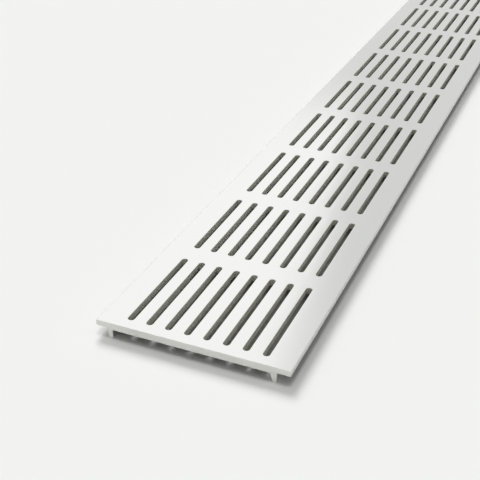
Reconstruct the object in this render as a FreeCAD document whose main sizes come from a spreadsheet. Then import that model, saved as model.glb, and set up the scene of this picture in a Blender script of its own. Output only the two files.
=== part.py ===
"""Slotted aluminium grating for a channel drain, cut from one extruded bar.

The bar is a flat plate that stands on two low ribs. Its web, between the ribs, carries rows of
round-ended slots. X runs across the bar, Y along it and Z up, in millimetres. The origin is at
the middle of the rectangle that the bar covers, level with the ribs' feet.
"""

import FreeCAD, Part
import math
import os

import Sketcher

DIMENSIONS = {
    "plate_width": 80.0,
    "overall_height": 6.5,
    "web_thickness": 3.0,
    "flange_thickness": 2.4,
    "rib_spacing": 67.2,
    "rib_foot_width": 1.6,
    "rib_draft": 14.0,
    "root_radius": 0.5,
    "foot_radius": 0.4,
    "top_edge_radius": 0.3,
    "bottom_edge_radius": 0.5,
    "slot_width": 2.7,
    "slot_length": 50.0,
    "slot_pitch": 8.0,
    "slot_columns": 8,
    "row_pitch": 60.0,
    "slot_rows": 10,
}

SHEET = "Dimensions"
NEAR = 0.001
X_AXIS = -1
Y_AXIS = -2
START = 1
END = 2
CENTRE = 3


def make_sheet(doc):
    """The driving dimensions, one named cell each."""
    sheet = doc.addObject("Spreadsheet::Sheet", SHEET)
    for row, (name, value) in enumerate(DIMENSIONS.items(), start=1):
        sheet.set(f"A{row}", name)
        sheet.set(f"B{row}", str(value))
        sheet.setAlias(f"B{row}", name)
    doc.recompute()
    return sheet


def cell(name):
    """A dimension's name as an expression writes it."""
    return f"{SHEET}.{name}"


def origin_feature(body, role):
    """One of the body's own origin planes or axes."""
    return next(item for item in body.Origin.OriginFeatures if item.Role == role)


def new_sketch(body, name, plane):
    sketch = body.newObject("Sketcher::SketchObject", name)
    sketch.AttachmentSupport = (origin_feature(body, plane), [""])
    sketch.MapMode = "FlatFace"
    return sketch


def add_dimension(sketch, name, constraint, expression):
    """Add a dimension and bind it to the sheet."""
    index = sketch.addConstraint(constraint)
    sketch.renameConstraint(index, name)
    sketch.setExpression(f"Constraints.{name}", expression)


def across(first, first_end, second, second_end, length):
    return Sketcher.Constraint("DistanceX", first, first_end, second, second_end, length)


def up(first, first_end, second, second_end, length):
    return Sketcher.Constraint("DistanceY", first, first_end, second, second_end, length)


def section_corners(sheet):
    """The section's sharp corners (x, z), clockwise from the top left one.

    Both ribs have an upright side towards +X and a drafted side towards -X.
    """
    half_width = sheet.plate_width / 2
    top = sheet.overall_height
    flange_under = top - sheet.flange_thickness
    web_under = top - sheet.web_thickness
    slope = math.tan(math.radians(sheet.rib_draft))
    far_side = (sheet.rib_spacing + sheet.rib_foot_width) / 2
    near_side = (sheet.rib_spacing - sheet.rib_foot_width) / 2
    return {
        "top_left": (-half_width, top),
        "top_right": (half_width, top),
        "right_lip": (half_width, flange_under),
        "right_outer_root": (far_side, flange_under),
        "right_outer_foot": (far_side, 0),
        "right_inner_foot": (near_side, 0),
        "right_inner_root": (near_side - slope * web_under, web_under),
        "left_inner_root": (-near_side, web_under),
        "left_inner_foot": (-near_side, 0),
        "left_outer_foot": (-far_side, 0),
        "left_outer_root": (-far_side - slope * flange_under, flange_under),
        "left_lip": (-half_width, flange_under),
    }


def draw_section(body, sheet):
    """The bar's section: the plate, its thinner flanges and the two ribs."""
    sketch = new_sketch(body, "Section", "XZ_Plane")
    corners = section_corners(sheet)
    points = [FreeCAD.Vector(x, z, 0) for x, z in corners.values()]
    line = {}
    for index, name in enumerate(corners):
        following = points[(index + 1) % len(points)]
        line[name] = sketch.addGeometry(Part.LineSegment(points[index], following))
    names = list(corners)
    for name, next_name in zip(names, names[1:] + names[:1]):
        sketch.addConstraint(
            Sketcher.Constraint("Coincident", line[name], END, line[next_name], START)
        )

    level = ("right_lip", "right_outer_foot", "right_inner_root", "left_inner_foot",
             "left_outer_root")
    upright = ("top_right", "right_outer_root", "left_inner_root", "left_lip")
    for name in level:
        sketch.addConstraint(Sketcher.Constraint("Horizontal", line[name]))
    for name in upright:
        sketch.addConstraint(Sketcher.Constraint("Vertical", line[name]))
    top = line["top_left"]
    sketch.addConstraint(Sketcher.Constraint("Symmetric", top, START, top, END, Y_AXIS))
    sketch.addConstraint(Sketcher.Constraint("Equal", line["top_right"], line["left_lip"]))
    for name in ("right_outer_foot", "left_inner_foot"):
        sketch.addConstraint(Sketcher.Constraint("PointOnObject", line[name], START, X_AXIS))
    sketch.addConstraint(
        Sketcher.Constraint("Equal", line["right_outer_foot"], line["left_inner_foot"])
    )

    add_dimension(sketch, "plate_width", across(top, START, top, END, sheet.plate_width),
                  cell("plate_width"))
    add_dimension(sketch, "overall_height", up(X_AXIS, START, top, START, sheet.overall_height),
                  cell("overall_height"))
    edge = line["top_right"]
    add_dimension(sketch, "flange_thickness", up(edge, END, edge, START, sheet.flange_thickness),
                  cell("flange_thickness"))
    web = line["right_inner_root"]
    add_dimension(sketch, "web_thickness", up(web, START, top, END, sheet.web_thickness),
                  cell("web_thickness"))
    foot = line["right_outer_foot"]
    add_dimension(sketch, "rib_foot_width", across(foot, END, foot, START, sheet.rib_foot_width),
                  cell("rib_foot_width"))
    far_side = (sheet.rib_spacing + sheet.rib_foot_width) / 2
    add_dimension(sketch, "right_rib_side", across(X_AXIS, START, foot, START, far_side),
                  f"({cell('rib_spacing')} + {cell('rib_foot_width')}) / 2")
    left_foot = line["left_inner_foot"]
    near_side = (sheet.rib_spacing - sheet.rib_foot_width) / 2
    add_dimension(sketch, "left_rib_side", across(left_foot, START, X_AXIS, START, near_side),
                  f"({cell('rib_spacing')} - {cell('rib_foot_width')}) / 2")
    lean = math.radians(90 + sheet.rib_draft)
    for side, name in (("right", "right_inner_foot"), ("left", "left_outer_foot")):
        add_dimension(sketch, f"{side}_draft", Sketcher.Constraint("Angle", line[name], lean),
                      f"(90 + {cell('rib_draft')}) * 1 deg")
    return sketch


def extrude_bar(body, sheet):
    """The bar with sharp edges, centred on the origin along Y."""
    pad = body.newObject("PartDesign::Pad", "Bar")
    pad.Profile = draw_section(body, sheet)
    pad.SideType = "Symmetric"
    pad.setExpression("Length", f"{cell('slot_rows')} * {cell('row_pitch')}")
    body.Document.recompute()
    return pad


def round_edges(body, base, name, radius_cell, corners):
    """Round the lengthwise edges that run through these section corners."""
    edges = []
    for number, edge in enumerate(base.Shape.Edges, start=1):
        middle = edge.CenterOfMass
        at_corner = any(math.hypot(middle.x - x, middle.z - z) < NEAR for x, z in corners)
        if abs(middle.y) < NEAR and at_corner:
            edges.append(f"Edge{number}")
    if len(edges) != len(corners):
        raise RuntimeError(f"{name}: found {len(edges)} of {len(corners)} edges")
    fillet = body.newObject("PartDesign::Fillet", name)
    fillet.Base = (base, edges)
    fillet.setExpression("Radius", cell(radius_cell))
    body.Document.recompute()
    return fillet


def round_section(body, sheet, bar):
    """The extrusion's radii at the ribs' roots, their feet and the plate's long edges."""
    corner = section_corners(sheet)
    rounds = {
        "root_radius": ("right_outer_root", "right_inner_root", "left_inner_root",
                        "left_outer_root"),
        "foot_radius": ("right_outer_foot", "right_inner_foot", "left_inner_foot",
                        "left_outer_foot"),
        "bottom_edge_radius": ("right_lip", "left_lip"),
        "top_edge_radius": ("top_left", "top_right"),
    }
    feature = bar
    for radius_cell, names in rounds.items():
        feature = round_edges(body, feature, radius_cell.title().replace("_", ""), radius_cell,
                              [corner[name] for name in names])
    return feature


def draw_slot(body, sheet):
    """The outline of the first slot, at the plate's -X -Y corner."""
    sketch = new_sketch(body, "SlotOutline", "XY_Plane")
    radius = sheet.slot_width / 2
    reach = (sheet.slot_length - sheet.slot_width) / 2
    x = -(sheet.slot_columns - 1) * sheet.slot_pitch / 2
    y = -(sheet.slot_rows - 1) * sheet.row_pitch / 2
    upward = FreeCAD.Vector(0, 0, 1)

    def end_round(centre_y, start_angle):
        circle = Part.Circle(FreeCAD.Vector(x, centre_y, 0), upward, radius)
        return sketch.addGeometry(Part.ArcOfCircle(circle, start_angle, start_angle + math.pi))

    def side(x_side, y_from, y_to):
        start = FreeCAD.Vector(x_side, y_from, 0)
        return sketch.addGeometry(Part.LineSegment(start, FreeCAD.Vector(x_side, y_to, 0)))

    far_round = end_round(y + reach, 0)
    left = side(x - radius, y + reach, y - reach)
    near_round = end_round(y - reach, math.pi)
    right = side(x + radius, y - reach, y + reach)
    outline = (far_round, left, near_round, right)
    for piece, following in zip(outline, outline[1:] + outline[:1]):
        sketch.addConstraint(Sketcher.Constraint("Tangent", piece, END, following, START))
    sketch.addConstraint(Sketcher.Constraint("Vertical", left))
    sketch.addConstraint(Sketcher.Constraint("Equal", far_round, near_round))

    half_columns = f"({cell('slot_columns')} - 1) * {cell('slot_pitch')} / 2"
    half_rows = f"({cell('slot_rows')} - 1) * {cell('row_pitch')} / 2"
    straight = f"({cell('slot_length')} - {cell('slot_width')})"
    add_dimension(sketch, "end_radius", Sketcher.Constraint("Radius", near_round, radius),
                  f"{cell('slot_width')} / 2")
    add_dimension(sketch, "straight_length",
                  up(near_round, CENTRE, far_round, CENTRE, 2 * reach), straight)
    add_dimension(sketch, "from_middle_x",
                  across(near_round, CENTRE, X_AXIS, START, -x), half_columns)
    add_dimension(sketch, "from_middle_y",
                  up(near_round, CENTRE, X_AXIS, START, reach - y), f"{half_rows} + {straight} / 2")
    return sketch


def cut_slots(body, sheet):
    """One slot through the web, and its pattern over the plate."""
    slot = body.newObject("PartDesign::Pocket", "Slot")
    slot.Profile = draw_slot(body, sheet)
    slot.Type = "ThroughAll"
    slot.Reversed = True
    body.Document.recompute()

    pattern = body.newObject("PartDesign::LinearPattern", "SlotPattern")
    pattern.Originals = [slot]
    pattern.Direction = (origin_feature(body, "X_Axis"), [""])
    pattern.setExpression("Length", f"({cell('slot_columns')} - 1) * {cell('slot_pitch')}")
    pattern.setExpression("Occurrences", cell("slot_columns"))
    pattern.Direction2 = (origin_feature(body, "Y_Axis"), [""])
    pattern.setExpression("Length2", f"({cell('slot_rows')} - 1) * {cell('row_pitch')}")
    pattern.setExpression("Occurrences2", cell("slot_rows"))
    body.Tip = pattern
    body.Document.recompute()


def make_grating(doc, sheet):
    body = doc.addObject("PartDesign::Body", "Grating")
    body.Label = "grating"
    bar = round_section(body, sheet, extrude_bar(body, sheet))
    cut_slots(body, sheet)
    check_slots_removed(sheet, bar.Shape.Volume - body.Shape.Volume)
    return body


def check_slots_removed(sheet, removed):
    """The metal that the slots take away is their area times the web's thickness."""
    radius = sheet.slot_width / 2
    area = math.pi * radius**2 + sheet.slot_width * (sheet.slot_length - sheet.slot_width)
    expected = area * sheet.web_thickness * sheet.slot_columns * sheet.slot_rows
    if not math.isclose(removed, expected, rel_tol=NEAR):
        raise RuntimeError(f"slots removed {removed:.0f} mm3, expected {expected:.0f}")


def check_document(doc):
    """recompute() can leave an object failed without raising."""
    for item in doc.Objects:
        if {"Invalid", "Error"} & set(item.State):
            raise RuntimeError(f"{item.Label} failed: {item.State}")


def write_piece(body):
    shape = body.Shape
    if shape.isNull() or not shape.isValid() or len(shape.Solids) != 1:
        raise RuntimeError(f"{body.Label}: not one valid solid")
    shape.exportStep(f"parts/{body.Label}.step")
    box = shape.BoundBox
    print(f"{body.Label}: {box.XLength:.2f} x {box.YLength:.2f} x {box.ZLength:.2f} mm, "
          f"z from {box.ZMin:.3f}, {shape.Volume / 1000:.2f} cm3, {len(shape.Faces)} faces")


def main():
    doc = FreeCAD.newDocument("ChannelDrainGrating")
    sheet = make_sheet(doc)
    grating = make_grating(doc, sheet)
    doc.recompute()
    check_document(doc)
    os.makedirs("parts", exist_ok=True)
    write_piece(grating)


main()
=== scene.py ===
"""A slotted aluminium grating for a channel drain, standing on its two ribs on a pale floor."""

import math

import bmesh
import bpy
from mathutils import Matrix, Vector


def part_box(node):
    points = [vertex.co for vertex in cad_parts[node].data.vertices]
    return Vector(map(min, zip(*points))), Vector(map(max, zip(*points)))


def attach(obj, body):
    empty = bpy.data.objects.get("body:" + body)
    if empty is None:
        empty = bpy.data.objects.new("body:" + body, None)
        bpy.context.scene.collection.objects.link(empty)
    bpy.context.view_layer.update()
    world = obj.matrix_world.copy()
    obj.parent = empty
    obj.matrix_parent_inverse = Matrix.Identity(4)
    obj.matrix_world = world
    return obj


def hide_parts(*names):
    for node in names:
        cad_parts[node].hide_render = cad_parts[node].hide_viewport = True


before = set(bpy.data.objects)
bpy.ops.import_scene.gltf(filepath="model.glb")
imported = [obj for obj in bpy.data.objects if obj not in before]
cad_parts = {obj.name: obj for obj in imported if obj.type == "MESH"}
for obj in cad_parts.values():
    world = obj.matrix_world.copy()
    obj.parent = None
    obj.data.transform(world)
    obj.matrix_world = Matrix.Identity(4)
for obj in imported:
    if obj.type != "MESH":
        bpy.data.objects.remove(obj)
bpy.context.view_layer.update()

LOW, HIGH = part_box("grating")
MM = 0.001

# The extrusion's section.
WEB_THICKNESS = 3.0 * MM
FLANGE_THICKNESS = 2.4 * MM
RIB_SPACING = 67.2 * MM
RIB_FOOT_WIDTH = 1.6 * MM
RIB_DRAFT = math.radians(14)
ROOT_RADIUS = 0.5 * MM
FOOT_RADIUS = 0.4 * MM
TOP_EDGE_RADIUS = 0.3 * MM
BOTTOM_EDGE_RADIUS = 0.5 * MM
WEB_UNDER = HIGH.z - WEB_THICKNESS
FLANGE_UNDER = HIGH.z - FLANGE_THICKNESS

# The slots, and the strip of web that they lie in.
SLOT_WIDTH = 2.7 * MM
SLOT_LENGTH = 50 * MM
SLOT_PITCH = 8 * MM
SLOT_COLUMNS = 8
SLOT_ROWS = 10
ROW_PITCH = (HIGH.y - LOW.y) / SLOT_ROWS
SLOTTED_HALF_WIDTH = 31 * MM

# What the tools leave: broken slot rims, and sawn ends with their sharp edges just dulled.
TOP_RIM = 0.15 * MM
UNDER_RIM = 0.08 * MM
END_BREAK = 0.08 * MM

# The mesh: straight steps in each section corner, slot end and broken edge, the distance below
# which two points are one, and the Z above which a normal counts as straight up.
ARC_STEPS = 6
SLOT_END_STEPS = 18
RIM_STEPS = 3
SAME_POINT = 1e-7
STRAIGHT_UP = 0.999

# The grating's finishes, in the order of its material slots. The underside's near-black colour is
# painted shade, and the slot walls' tone is partly painted shade.
GROUND, SATIN, UNDERSIDE, SLOT_WALL, SAWN = range(5)

# The camera stands off from the middle of the near end's bottom edge.
CAMERA_OFFSET = Vector((122.9, -253.8, 213.2)) * MM
CAMERA_ANGLES = (60.13, -0.97, 22.79)
CAMERA_LENS = 70.28

# The backdrop's tone, and the world's light. The light grows along WORLD_SLOPE, which points up
# and a little to the left.
BACKDROP = (0.896, 0.905, 0.888)
WORLD_COLOUR = (1.0, 1.0, 0.955)
WORLD_LEVEL = 0.12
WORLD_SLOPE = (-0.12, 0, 0.37)

# The lamps, in degrees and metres. An azimuth is to the left of straight behind the grating, and an
# elevation is above the floor. The panel leans in its own plane, here with its top to the left.
KEY = {"strength": 2.13, "width": 24, "elevation": 40, "azimuth": 33}
OVERHEAD = {"strength": 0.54, "width": 15, "elevation": 84, "azimuth": 0}
PANEL_AZIMUTH = 35.7
PANEL_DISTANCE = 4.0
PANEL_WIDTH = 2.45
PANEL_LOW = 1.45
PANEL_HIGH = 4.8
PANEL_LEAN = -10
PANEL_TONE = 0.41


# ---------------------------------------------------------------- the section


def round_corner(before, corner, after, radius):
    """Points and outward normals of the arc that rounds one corner of an anticlockwise outline."""
    back = (before - corner).normalized()
    ahead = (after - corner).normalized()
    half = back.angle(ahead) / 2
    centre = corner + (back + ahead).normalized() * radius / math.sin(half)
    outward = 1 if ahead.cross(back) > 0 else -1
    start = corner + back * radius / math.tan(half) - centre
    first = math.atan2(start.y, start.x)
    sweep = outward * (math.pi - 2 * half)
    arc = []
    for step in range(ARC_STEPS + 1):
        angle = first + sweep * step / ARC_STEPS
        spoke = Vector((math.cos(angle), math.sin(angle)))
        arc.append((centre + radius * spoke, outward * spoke))
    return arc


def rounded_corners():
    """The section's twelve corners as arcs, anticlockwise from the top left one, in X and Z."""
    slope = math.tan(RIB_DRAFT)
    far_side = (RIB_SPACING + RIB_FOOT_WIDTH) / 2
    near_side = (RIB_SPACING - RIB_FOOT_WIDTH) / 2
    corners = [
        (LOW.x, HIGH.z, TOP_EDGE_RADIUS),
        (LOW.x, FLANGE_UNDER, BOTTOM_EDGE_RADIUS),
        (-far_side - slope * FLANGE_UNDER, FLANGE_UNDER, ROOT_RADIUS),
        (-far_side, LOW.z, FOOT_RADIUS),
        (-near_side, LOW.z, FOOT_RADIUS),
        (-near_side, WEB_UNDER, ROOT_RADIUS),
        (near_side - slope * WEB_UNDER, WEB_UNDER, ROOT_RADIUS),
        (near_side, LOW.z, FOOT_RADIUS),
        (far_side, LOW.z, FOOT_RADIUS),
        (far_side, FLANGE_UNDER, ROOT_RADIUS),
        (HIGH.x, FLANGE_UNDER, BOTTOM_EDGE_RADIUS),
        (HIGH.x, HIGH.z, TOP_EDGE_RADIUS),
    ]
    points = [Vector((x, z)) for x, z, _ in corners]
    count = len(corners)
    return [round_corner(points[i - 1], points[i], points[(i + 1) % count], corners[i][2])
            for i in range(count)]


def section_chains():
    """The section in four runs: left side, slotted underside, right side, slotted top."""
    arcs = rounded_corners()
    half = len(arcs) // 2
    left = [point for arc in arcs[:half] for point in arc]
    right = [point for arc in arcs[half:] for point in arc]
    up, down = Vector((0, 1)), Vector((0, -1))
    under = [(Vector((x, WEB_UNDER)), down) for x in column_lines()]
    top = [(Vector((x, HIGH.z)), up) for x in reversed(column_lines())]
    return left, under, right, top


def column_lines():
    """The X of the lines between the slot columns, and of the slotted strip's two sides."""
    inner = [(column - SLOT_COLUMNS / 2) * SLOT_PITCH for column in range(1, SLOT_COLUMNS)]
    return [-SLOTTED_HALF_WIDTH, *inner, SLOTTED_HALF_WIDTH]


def row_lines():
    """The Y of the lines between the slot rows, and of the two ends less their dulled edge."""
    inner = [LOW.y + row * ROW_PITCH for row in range(1, SLOT_ROWS)]
    return [LOW.y + END_BREAK, *inner, HIGH.y - END_BREAK]


# ---------------------------------------------------------------- the mesh


def quarter_round(radius):
    """(inset, depth) of the points that round an edge, from its face to its wall."""
    for step in range(RIM_STEPS + 1):
        angle = math.pi / 2 * step / RIM_STEPS
        yield radius * (1 - math.sin(angle)), radius * (1 - math.cos(angle))


def add_face(mesh, points, material):
    """A face on points of its own, which make_grating joins to its neighbours."""
    face = mesh.faces.new([mesh.verts.new(point) for point in points])
    face.smooth = True
    face.material_index = material


def join_loops(mesh, first, second, material, closed=True):
    """A band of quads between two runs of as many points."""
    last = len(first) if closed else len(first) - 1
    for index in range(last):
        following = (index + 1) % len(first)
        add_face(mesh, (first[index], first[following], second[following], second[index]),
                 material)


def loop_at(chain, y, inset=0.0):
    """A run of the section's points, placed at one Y and moved in from the surface."""
    return [Vector((point.x - normal.x * inset, y, point.y - normal.y * inset))
            for point, normal in chain]


def finish_between(first, second):
    """The finish of the long face between two neighbouring points of the section."""
    upward = [normal.y for _, normal in (first, second)]
    if min(upward) > STRAIGHT_UP:
        return GROUND
    if max(upward) < -STRAIGHT_UP:
        return UNDERSIDE
    return SATIN


def add_sides(mesh):
    """The plate outside the slotted strip, with the ribs, from one end to the other."""
    left, under, right, top = section_chains()
    sides = ([top[-1], *left, under[0]], [under[-1], *right, top[0]])
    lines = row_lines()
    for near, far in zip(lines, lines[1:]):
        for side in sides:
            for edge in zip(side, side[1:]):
                join_loops(mesh, loop_at(edge, near), loop_at(edge, far), finish_between(*edge),
                           closed=False)


def add_ends(mesh):
    """The sawn ends and their dulled edges."""
    outline = [point for chain in section_chains() for point in chain]
    for end, inward in ((LOW.y, 1), (HIGH.y, -1)):
        loops = [loop_at(outline, end + inward * depth, inset)
                 for inset, depth in quarter_round(END_BREAK)]
        add_face(mesh, loops[0], SAWN)
        for outer, inner in zip(loops, loops[1:]):
            join_loops(mesh, outer, inner, SAWN)


def slot_ring(x, y, z, radius):
    """A slot's outline: its far end from right to left, then its near end from left to right."""
    reach = (SLOT_LENGTH - SLOT_WIDTH) / 2
    ring = []
    for centre_y, first in ((y + reach, 0), (y - reach, math.pi)):
        for step in range(SLOT_END_STEPS + 1):
            angle = first + math.pi * step / SLOT_END_STEPS
            ring.append(Vector((x + radius * math.cos(angle),
                                centre_y + radius * math.sin(angle), z)))
    return ring


def add_face_round_slot(mesh, ring, x_lines, y_lines, material):
    """The flat cell round a slot: four faces between its ring and the cell's corners."""
    z = ring[0].z
    (left, right), (near, far) = x_lines, y_lines
    near_left, near_right = Vector((left, near, z)), Vector((right, near, z))
    far_left, far_right = Vector((left, far, z)), Vector((right, far, z))
    half = len(ring) // 2
    far_arc, near_arc = ring[:half], ring[half:]
    add_face(mesh, [far_right, far_left, *reversed(far_arc)], material)
    add_face(mesh, [near_left, near_right, *reversed(near_arc)], material)
    add_face(mesh, [far_left, near_left, near_arc[0], far_arc[-1]], material)
    add_face(mesh, [near_right, far_right, far_arc[0], near_arc[-1]], material)


def add_slots(mesh):
    """The slotted strip, cell by cell: top, underside, and the slot's rims and wall."""
    columns, rows = column_lines(), row_lines()
    for column, x_lines in enumerate(zip(columns, columns[1:])):
        x = (column - (SLOT_COLUMNS - 1) / 2) * SLOT_PITCH
        for row, y_lines in enumerate(zip(rows, rows[1:])):
            y = LOW.y + (row + 0.5) * ROW_PITCH
            top = [slot_ring(x, y, HIGH.z - depth, SLOT_WIDTH / 2 + inset)
                   for inset, depth in quarter_round(TOP_RIM)]
            under = [slot_ring(x, y, WEB_UNDER + depth, SLOT_WIDTH / 2 + inset)
                     for inset, depth in quarter_round(UNDER_RIM)]
            add_face_round_slot(mesh, top[0], x_lines, y_lines, GROUND)
            add_face_round_slot(mesh, under[0], x_lines, y_lines, UNDERSIDE)
            for upper, lower in zip(top, top[1:]):
                join_loops(mesh, upper, lower, GROUND)
            wall = [top[-1], *reversed(under)]
            for upper, lower in zip(wall, wall[1:]):
                join_loops(mesh, upper, lower, SLOT_WALL)


def make_grating():
    mesh = bmesh.new()
    add_sides(mesh)
    add_ends(mesh)
    add_slots(mesh)
    bmesh.ops.remove_doubles(mesh, verts=mesh.verts, dist=SAME_POINT)
    bmesh.ops.recalc_face_normals(mesh, faces=mesh.faces)
    data = bpy.data.meshes.new("slotted_grating")
    mesh.to_mesh(data)
    mesh.free()
    for material in finish_materials():
        data.materials.append(material)
    grating = bpy.data.objects.new("slotted_grating", data)
    bpy.context.scene.collection.objects.link(grating)
    normals = grating.modifiers.new("flat faces stay flat", "WEIGHTED_NORMAL")
    normals.mode = "FACE_AREA"
    normals.weight = 100
    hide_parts("grating")
    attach(grating, "root")


# ---------------------------------------------------------------- materials


class Nodes:
    """A material's node tree, with short ways to add and link its nodes."""

    def __init__(self, name):
        self.material = bpy.data.materials.new(name)
        self.material.use_nodes = True
        self.tree = self.material.node_tree
        self.shader = self.tree.nodes["Principled BSDF"]

    def feed(self, socket, value):
        """Give a socket a constant, or link another node's output to it."""
        if isinstance(value, bpy.types.NodeSocket):
            self.tree.links.new(value, socket)
        else:
            socket.default_value = value

    def add(self, kind, **sockets):
        """A new node, with some of its sockets set or linked."""
        node = self.tree.nodes.new(kind)
        for name, value in sockets.items():
            self.feed(node.inputs[name], value)
        return node

    def shade(self, name, value):
        """Set or link one socket of the material's shader."""
        self.feed(self.shader.inputs[name], value)

    def stretched_noise(self, scale, turn=(0, 0, 0), detail=4):
        """Noise with a different scale along each axis, in features a metre."""
        place = self.add("ShaderNodeTexCoord").outputs["Object"]
        mapped = self.add("ShaderNodeMapping", Vector=place, Scale=scale, Rotation=turn)
        noise = self.add("ShaderNodeTexNoise", Vector=mapped.outputs["Vector"], Scale=1.0,
                         Detail=detail)
        return noise.outputs["Fac"]

    def spread(self, noise, low, high):
        """Spread noise, which mostly lies between 0.25 and 0.75, over a range."""
        ends = {"From Min": 0.25, "From Max": 0.75, "To Min": low, "To Max": high}
        return self.add("ShaderNodeMapRange", Value=noise, **ends).outputs["Result"]

    def bump(self, height, distance):
        """Raise the surface by the height map, by up to the distance."""
        node = self.add("ShaderNodeBump", Height=height, Strength=1.0, Distance=distance)
        self.shade("Normal", node.outputs["Normal"])


def aluminium(name, colour, least_rough, most_rough):
    """Bare metal, clouded, with fine die lines along the bar."""
    nodes = Nodes(name)
    nodes.shade("Metallic", 1.0)
    nodes.shade("Base Color", (*colour, 1))
    clouds = nodes.stretched_noise((60, 20, 60), detail=2)
    nodes.shade("Roughness", nodes.spread(clouds, least_rough, most_rough))
    die_lines = nodes.stretched_noise((3000, 25, 3000))
    nodes.bump(die_lines, 0.002 * MM)
    return nodes.material


def sawn_aluminium():
    """The bar's sawn ends: duller, with slanting blade marks."""
    nodes = Nodes("sawn_aluminium")
    nodes.shade("Metallic", 1.0)
    nodes.shade("Base Color", (0.87, 0.87, 0.855, 1))
    marks = nodes.stretched_noise((250, 1, 2500), turn=(0, math.radians(35), 0))
    nodes.shade("Roughness", nodes.spread(marks, 0.8, 0.9))
    nodes.bump(marks, 0.02 * MM)
    return nodes.material


def finish_materials():
    """A material for each finish, in the order of the finishes."""
    return [
        aluminium("ground_top", (0.69, 0.69, 0.68), 0.13, 0.17),
        aluminium("satin_sides", (0.68, 0.68, 0.665), 0.42, 0.50),
        # The underside's near-black base colour is painted shade: it darkens the floor beneath the
        # grating and in the gap under its near end.
        aluminium("underside_painted_shade", (0.12, 0.12, 0.11), 0.55, 0.65),
        # The slot walls' base colour, a little darker and yellower than the top's, is painted shade
        # in the slots; their matte roughness is their own.
        aluminium("matte_slot_walls_painted_shade", (0.65, 0.65, 0.6), 0.88, 0.92),
        sawn_aluminium(),
    ]


def floor_paint():
    nodes = Nodes("pale_floor")
    nodes.shade("Base Color", (0.9, 0.907, 0.9, 1))
    nodes.shade("Roughness", 1.0)
    nodes.shade("Specular IOR Level", 0.0)
    return nodes.material


# ---------------------------------------------------------------- the stage


def make_camera():
    """The camera, in front of the near end and to its right, looking down along the grating."""
    data = bpy.data.cameras.new("camera")
    data.lens = CAMERA_LENS
    data.clip_start = 0.01
    data.clip_end = 50
    camera = bpy.data.objects.new("camera", data)
    near_end = Vector(((LOW.x + HIGH.x) / 2, LOW.y, LOW.z))
    camera.location = near_end + CAMERA_OFFSET
    camera.rotation_euler = [math.radians(angle) for angle in CAMERA_ANGLES]
    bpy.context.scene.collection.objects.link(camera)
    bpy.context.scene.camera = camera


def make_floor():
    """A floor that runs on to the horizon."""
    half = 20.0
    data = bpy.data.meshes.new("floor")
    data.from_pydata([(-half, -half, LOW.z), (half, -half, LOW.z), (half, half, LOW.z),
                      (-half, half, LOW.z)], [], [(0, 1, 2, 3)])
    data.materials.append(floor_paint())
    floor = bpy.data.objects.new("floor", data)
    bpy.context.scene.collection.objects.link(floor)


def sloping_strength(tree):
    """The world's light by direction: WORLD_LEVEL straight ahead, and more along WORLD_SLOPE."""
    direction = tree.nodes.new("ShaderNodeTexCoord")
    along = tree.nodes.new("ShaderNodeVectorMath")
    along.operation = "DOT_PRODUCT"
    along.inputs[1].default_value = WORLD_SLOPE
    tree.links.new(direction.outputs["Generated"], along.inputs[0])
    strength = tree.nodes.new("ShaderNodeMath")
    strength.use_clamp = True
    strength.inputs[1].default_value = WORLD_LEVEL
    tree.links.new(along.outputs["Value"], strength.inputs[0])
    return strength.outputs["Value"]


def rays_that_see_backdrop(tree):
    """1 for camera rays and for those that a surface reflects or lets through, otherwise 0."""
    path = tree.nodes.new("ShaderNodeLightPath")
    seen = path.outputs["Is Camera Ray"]
    for kind in ("Is Glossy Ray", "Is Transmission Ray"):
        either = tree.nodes.new("ShaderNodeMath")
        either.operation = "MAXIMUM"
        tree.links.new(seen, either.inputs[0])
        tree.links.new(path.outputs[kind], either.inputs[1])
        seen = either.outputs["Value"]
    return seen


def make_world():
    """Soft light, strongest from above, with the backdrop's tone where the world itself is seen."""
    world = bpy.data.worlds.new("studio")
    world.use_nodes = True
    bpy.context.scene.world = world
    tree = world.node_tree
    light = tree.nodes["Background"]
    light.inputs["Color"].default_value = (*WORLD_COLOUR, 1)
    tree.links.new(sloping_strength(tree), light.inputs["Strength"])
    backdrop = tree.nodes.new("ShaderNodeBackground")
    backdrop.inputs["Color"].default_value = (*BACKDROP, 1)
    mix = tree.nodes.new("ShaderNodeMixShader")
    tree.links.new(rays_that_see_backdrop(tree), mix.inputs["Fac"])
    tree.links.new(light.outputs["Background"], mix.inputs[1])
    tree.links.new(backdrop.outputs["Background"], mix.inputs[2])
    tree.links.new(mix.outputs["Shader"], tree.nodes["World Output"].inputs["Surface"])


def add_lamp(name, data, place, angles):
    lamp = bpy.data.objects.new(name, data)
    lamp.location = place
    lamp.rotation_euler = [math.radians(angle) for angle in angles]
    bpy.context.scene.collection.objects.link(lamp)
    return lamp


def make_sun(name, strength, width, elevation, azimuth):
    """A distant soft light, which the metal doesn't mirror."""
    data = bpy.data.lights.new(name, "SUN")
    data.energy = strength
    data.angle = math.radians(width)
    sun = add_lamp(name, data, (0, 0, 2), (elevation - 90, 0, azimuth))
    sun.visible_glossy = False


def make_panel():
    """The upright white panel, behind to the left, that the top of the grating reflects."""
    data = bpy.data.lights.new("panel", "AREA")
    data.shape = "RECTANGLE"
    data.size = PANEL_WIDTH
    data.size_y = PANEL_HIGH - PANEL_LOW
    data.energy = PANEL_TONE * math.pi * data.size * data.size_y
    turn = math.radians(PANEL_AZIMUTH)
    place = (-PANEL_DISTANCE * math.sin(turn), PANEL_DISTANCE * math.cos(turn),
             (PANEL_LOW + PANEL_HIGH) / 2)
    add_lamp("panel", data, place, (-90, PANEL_LEAN, PANEL_AZIMUTH))


bpy.context.scene.view_settings.view_transform = "Standard"
make_camera()
make_world()
make_sun("key", **KEY)
make_sun("overhead", **OVERHEAD)
make_panel()
make_floor()
make_grating()
